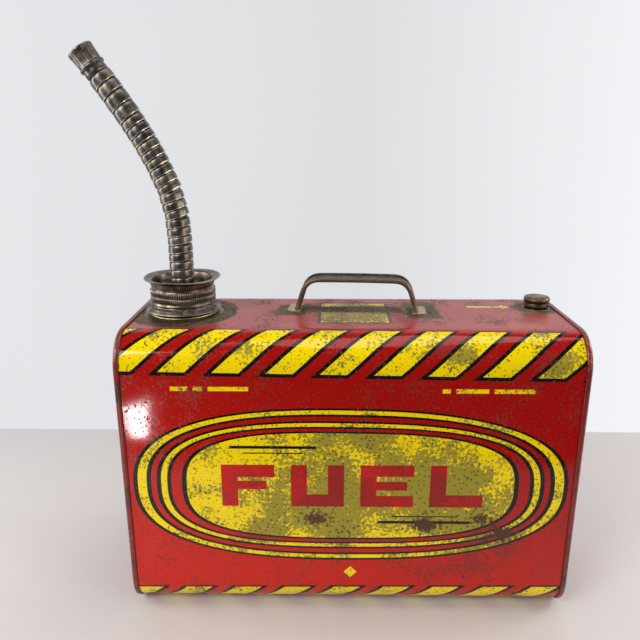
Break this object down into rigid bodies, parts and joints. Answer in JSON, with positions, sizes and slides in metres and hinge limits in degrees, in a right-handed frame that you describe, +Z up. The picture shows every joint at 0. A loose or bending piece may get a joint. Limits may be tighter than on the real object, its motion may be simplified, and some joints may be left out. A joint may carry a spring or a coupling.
{
  "type": "portable fuel can",
  "caption": "Flat-sided tinplate fuel can with rolled end rims, carrying handle, screw vent cap and a flexible metal pouring spout in a knurled screw ring.",
  "frame": {"origin": "centre of the can's footprint on the floor it stands on", "axes": "+X along the can towards the vent cap, painted front facing -Y, +Z up"},
  "size_m": [0.3851, 0.14, 0.4407],
  "materials": {
    "litho_tinplate": "glossy lithographed tinplate, red with yellow and black, worn",
    "rim_enamel": "worn red-brown enamel over the rolled seam, bare on its edges",
    "bare_tinplate": "bare aged tinplate",
    "ring_steel": "dark aged steel, knurled",
    "hose_gunmetal": "dark polished strip-wound steel with rust in its seams",
    "vent_brown": "dark brown aged plating",
    "handle_steel": "dark brown oxidised steel",
    "cork": "pressed cork composition"
  },
  "bodies": {
    "tank": {"body_sheet": "litho_tinplate", "left_end_panel": "rim_enamel", "right_end_panel": "rim_enamel", "filler_neck": "bare_tinplate", "vent_neck": "vent_brown", "handle": "handle_steel"},
    "spout_seal": {"filler_gasket": "cork"},
    "spout": {"spout_cup": "ring_steel", "hose_socket": "ring_steel", "hose_foot": "hose_gunmetal"},
    "ring_washer": {"slip_washer": "bare_tinplate"},
    "ring": {"filler_ring": "ring_steel"},
    "vent_seal": {"vent_liner": "cork"},
    "vent_lid": {"vent_cap": "vent_brown"},
    "hose_1": {"hose_link_1": "hose_gunmetal"},
    "hose_2": {"hose_link_2": "hose_gunmetal"},
    "hose_3": {"hose_link_3": "hose_gunmetal"},
    "hose_4": {"hose_link_4": "hose_gunmetal"},
    "hose_5": {"hose_link_5": "hose_gunmetal"},
    "hose_6": {"hose_link_6": "hose_gunmetal"},
    "hose_7": {"hose_link_7": "hose_gunmetal", "nozzle": "hose_gunmetal"}
  },
  "joints": [
    {"name": "spout_lift", "type": "slide", "parent": "tank", "child": "spout_seal", "axis": [0, 0, 1], "range_m": [0, 0.03]},
    {"name": "spout_swivel", "type": "hinge", "parent": "spout_seal", "child": "spout", "pos_m": [-0.136, 0.003, 0.2505], "axis": [0, 0, 1], "continuous": true},
    {"name": "ring_rise", "type": "slide", "parent": "spout_seal", "child": "ring_washer", "axis": [0, 0, 1], "range_m": [0, 0.0105]},
    {"name": "ring_turn", "type": "hinge", "parent": "ring_washer", "child": "ring", "pos_m": [-0.136, 0.003, 0.2505], "axis": [0, 0, 1], "range_deg": [0, 1260]},
    {"name": "vent_rise", "type": "slide", "parent": "tank", "child": "vent_seal", "axis": [0, 0, 1], "range_m": [0, 0.006]},
    {"name": "vent_turn", "type": "hinge", "parent": "vent_seal", "child": "vent_lid", "pos_m": [0.1583, 0.02, 0.238], "axis": [0, 0, 1], "range_deg": [0, 1080]},
    {"name": "hose_flex_1", "type": "hinge", "parent": "spout", "child": "hose_1", "pos_m": [-0.136, 0.003, 0.293], "axis": [0, -1, 0], "range_deg": [-3.51, 5.17]},
    {"name": "hose_bend", "type": "hinge", "parent": "hose_1", "child": "hose_2", "pos_m": [-0.13725, 0.003, 0.31346], "axis": [0, -1, 0], "range_deg": [-9.5, 14]},
    {"name": "hose_flex_3", "type": "hinge", "parent": "hose_2", "child": "hose_3", "pos_m": [-0.14186, 0.003, 0.33344], "axis": [0, -1, 0], "range_deg": [-9.51, 14.01]},
    {"name": "hose_flex_4", "type": "hinge", "parent": "hose_3", "child": "hose_4", "pos_m": [-0.14971, 0.003, 0.35238], "axis": [0, -1, 0], "range_deg": [-4.51, 6.64]},
    {"name": "hose_flex_5", "type": "hinge", "parent": "hose_4", "child": "hose_5", "pos_m": [-0.15901, 0.003, 0.37064], "axis": [0, -1, 0], "range_deg": [-4.01, 5.9]},
    {"name": "hose_flex_6", "type": "hinge", "parent": "hose_5", "child": "hose_6", "pos_m": [-0.16957, 0.003, 0.38821], "axis": [0, -1, 0], "range_deg": [-2.51, 3.69]},
    {"name": "hose_flex_7", "type": "hinge", "parent": "hose_6", "child": "hose_7", "pos_m": [-0.18089, 0.003, 0.40531], "axis": [0, -1, 0], "range_deg": [-2.01, 2.96]}
  ],
  "couplings": [
    {"joint": "ring_rise", "follows": "ring_turn", "m_per_rad": 0.000477},
    {"joint": "vent_rise", "follows": "vent_turn", "m_per_rad": 0.000318},
    {"joint": "hose_flex_1", "follows": "hose_bend", "ratio": 0.36842},
    {"joint": "hose_flex_3", "follows": "hose_bend", "ratio": 1},
    {"joint": "hose_flex_4", "follows": "hose_bend", "ratio": 0.47368},
    {"joint": "hose_flex_5", "follows": "hose_bend", "ratio": 0.42105},
    {"joint": "hose_flex_6", "follows": "hose_bend", "ratio": 0.26316},
    {"joint": "hose_flex_7", "follows": "hose_bend", "ratio": 0.21053}
  ]
}
